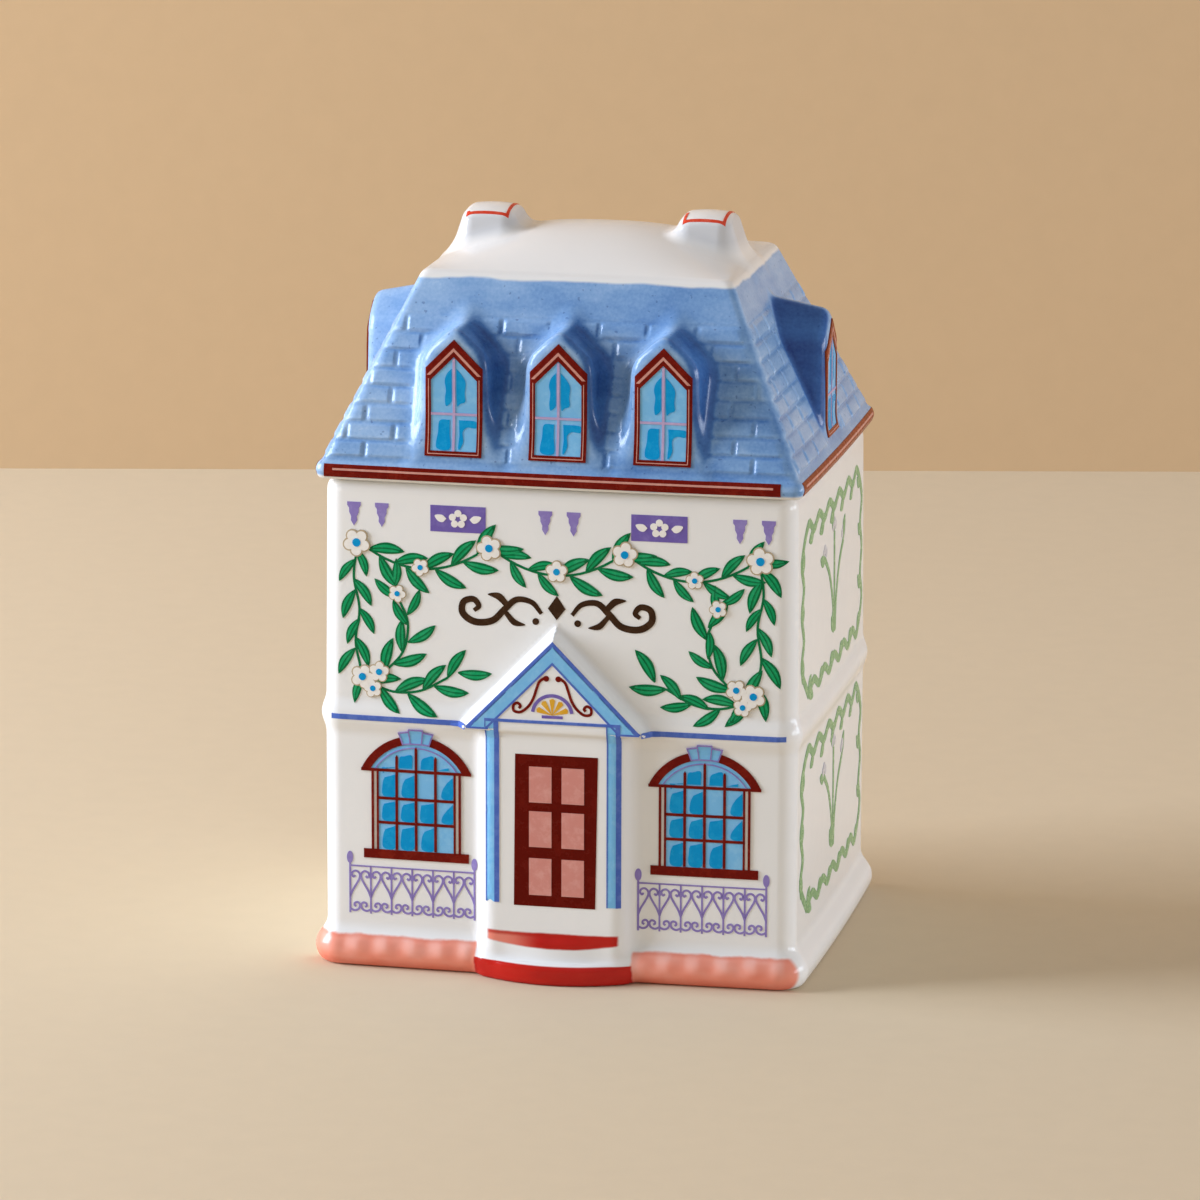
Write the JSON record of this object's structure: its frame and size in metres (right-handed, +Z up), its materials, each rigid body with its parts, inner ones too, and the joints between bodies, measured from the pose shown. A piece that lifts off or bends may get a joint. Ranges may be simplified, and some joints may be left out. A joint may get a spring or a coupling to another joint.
{
  "type": "spice jar",
  "caption": "House-shaped porcelain spice jar with a lift-off mansard-roof lid, a gabled porch and round steps; a soft ring on the lid's plug seals the round mouth.",
  "frame": {"origin": "on the table, under the middle of the whole jar's box", "axes": "+Z up, front door towards -Y, +X to the right of someone who faces the door"},
  "size_m": [0.0618, 0.056, 0.0914],
  "materials": {
    "jar_glaze": "clear gloss glaze over warm white porcelain, with painted decoration",
    "seal_silicone": "translucent satin silicone",
    "lid_glaze": "brushed blue under a clear gloss glaze, white on the top and the chimneys"
  },
  "bodies": {
    "jar": {"jar_body": "jar_glaze"},
    "seal": {"seal_ring": "seal_silicone"},
    "lid": {"lid": "lid_glaze"}
  },
  "joints": [
    {"name": "lid_lift", "type": "slide", "parent": "jar", "child": "seal", "axis": [0, 0, 1], "range_m": [0, 0.05]},
    {"name": "lid_turn", "type": "hinge", "parent": "seal", "child": "lid", "pos_m": [0, 0.0016, 0.061], "axis": [0, 0, 1], "continuous": true}
  ]
}
